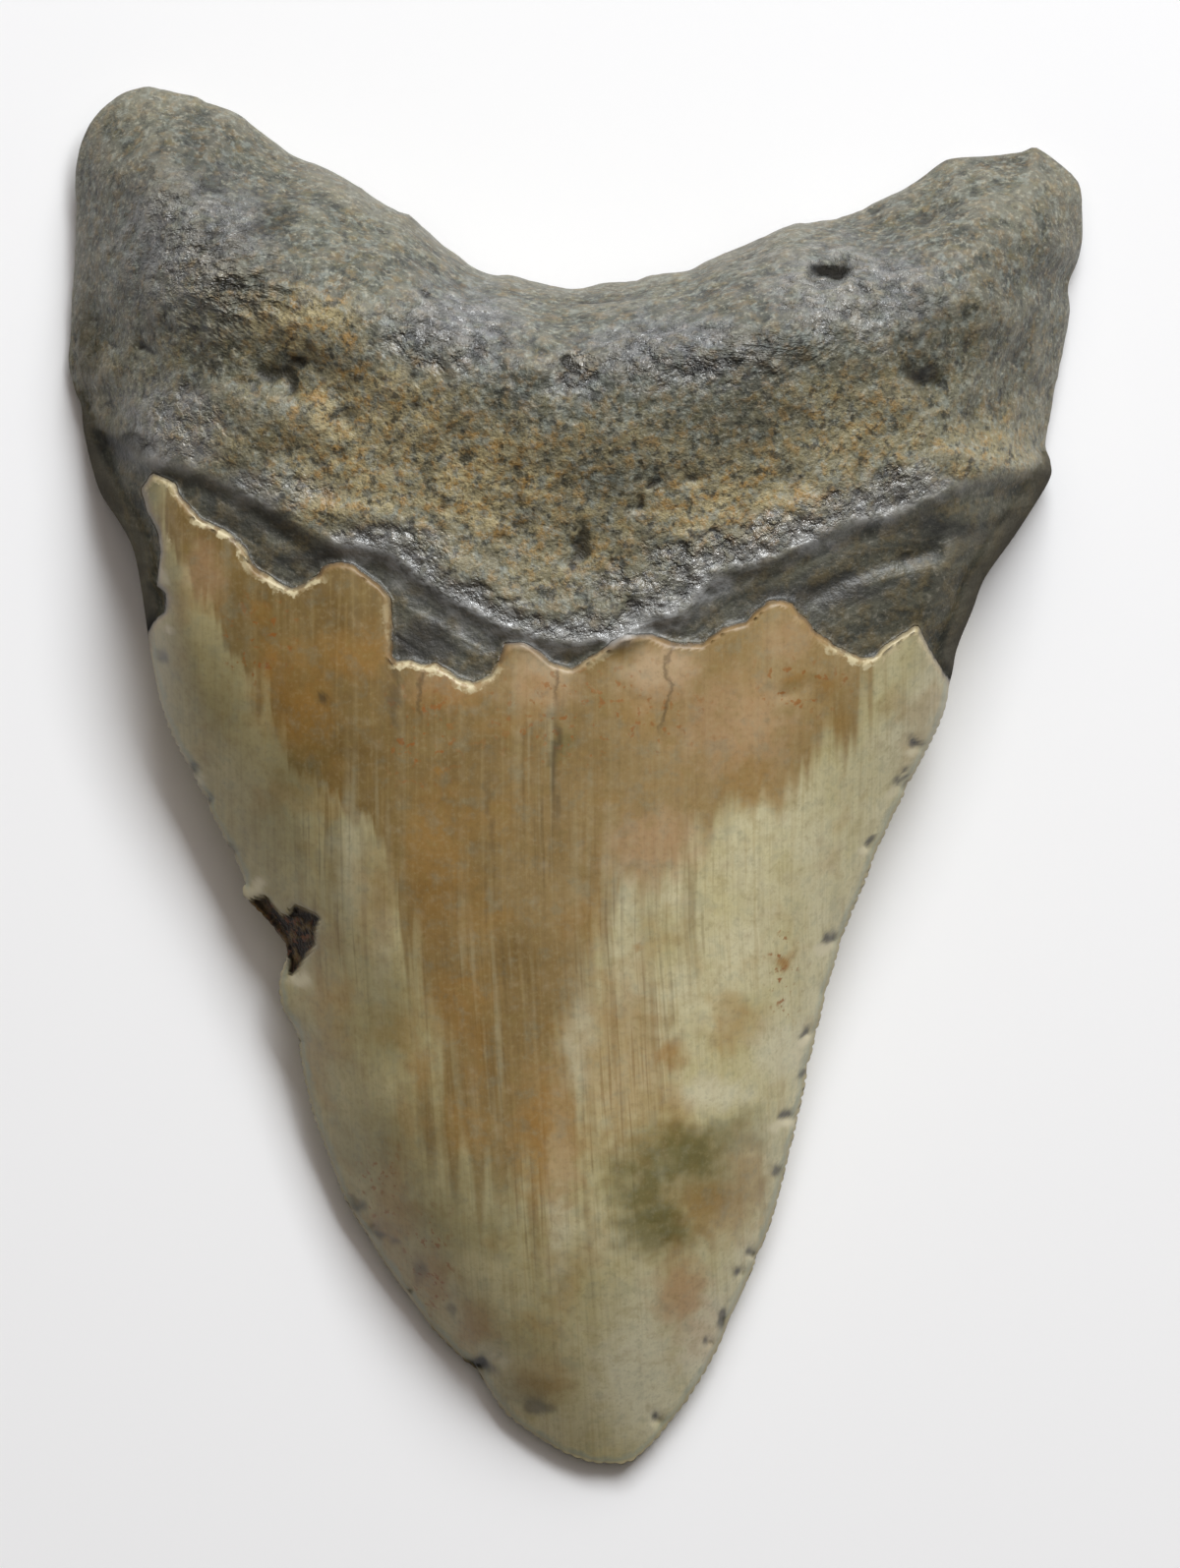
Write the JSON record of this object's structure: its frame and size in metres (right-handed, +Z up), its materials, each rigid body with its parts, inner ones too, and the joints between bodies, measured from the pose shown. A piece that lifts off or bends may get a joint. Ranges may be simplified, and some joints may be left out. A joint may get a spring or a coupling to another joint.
{
  "type": "megalodon tooth",
  "caption": "Fossil shark tooth lying on its flatter face: a thick two-lobed root, a dark neck band and a leaning triangular enamel blade with worn saw edges.",
  "frame": {"origin": "middle of the bounding box in plan, on the surface that the tooth lies on", "axes": "+Z up out of the more convex face, +Y from the blade's tip to the root, +X across the tooth"},
  "size_m": [0.0946, 0.1286, 0.0273],
  "materials": {
    "fossil_tooth": "fossilised tooth: satin olive-grey to tan enamel with brown stains on the blade, pitted and lumpy dark grey-brown root with a dull polish"
  },
  "bodies": {
    "root": {"tooth": "fossil_tooth"}
  },
  "joints": []
}
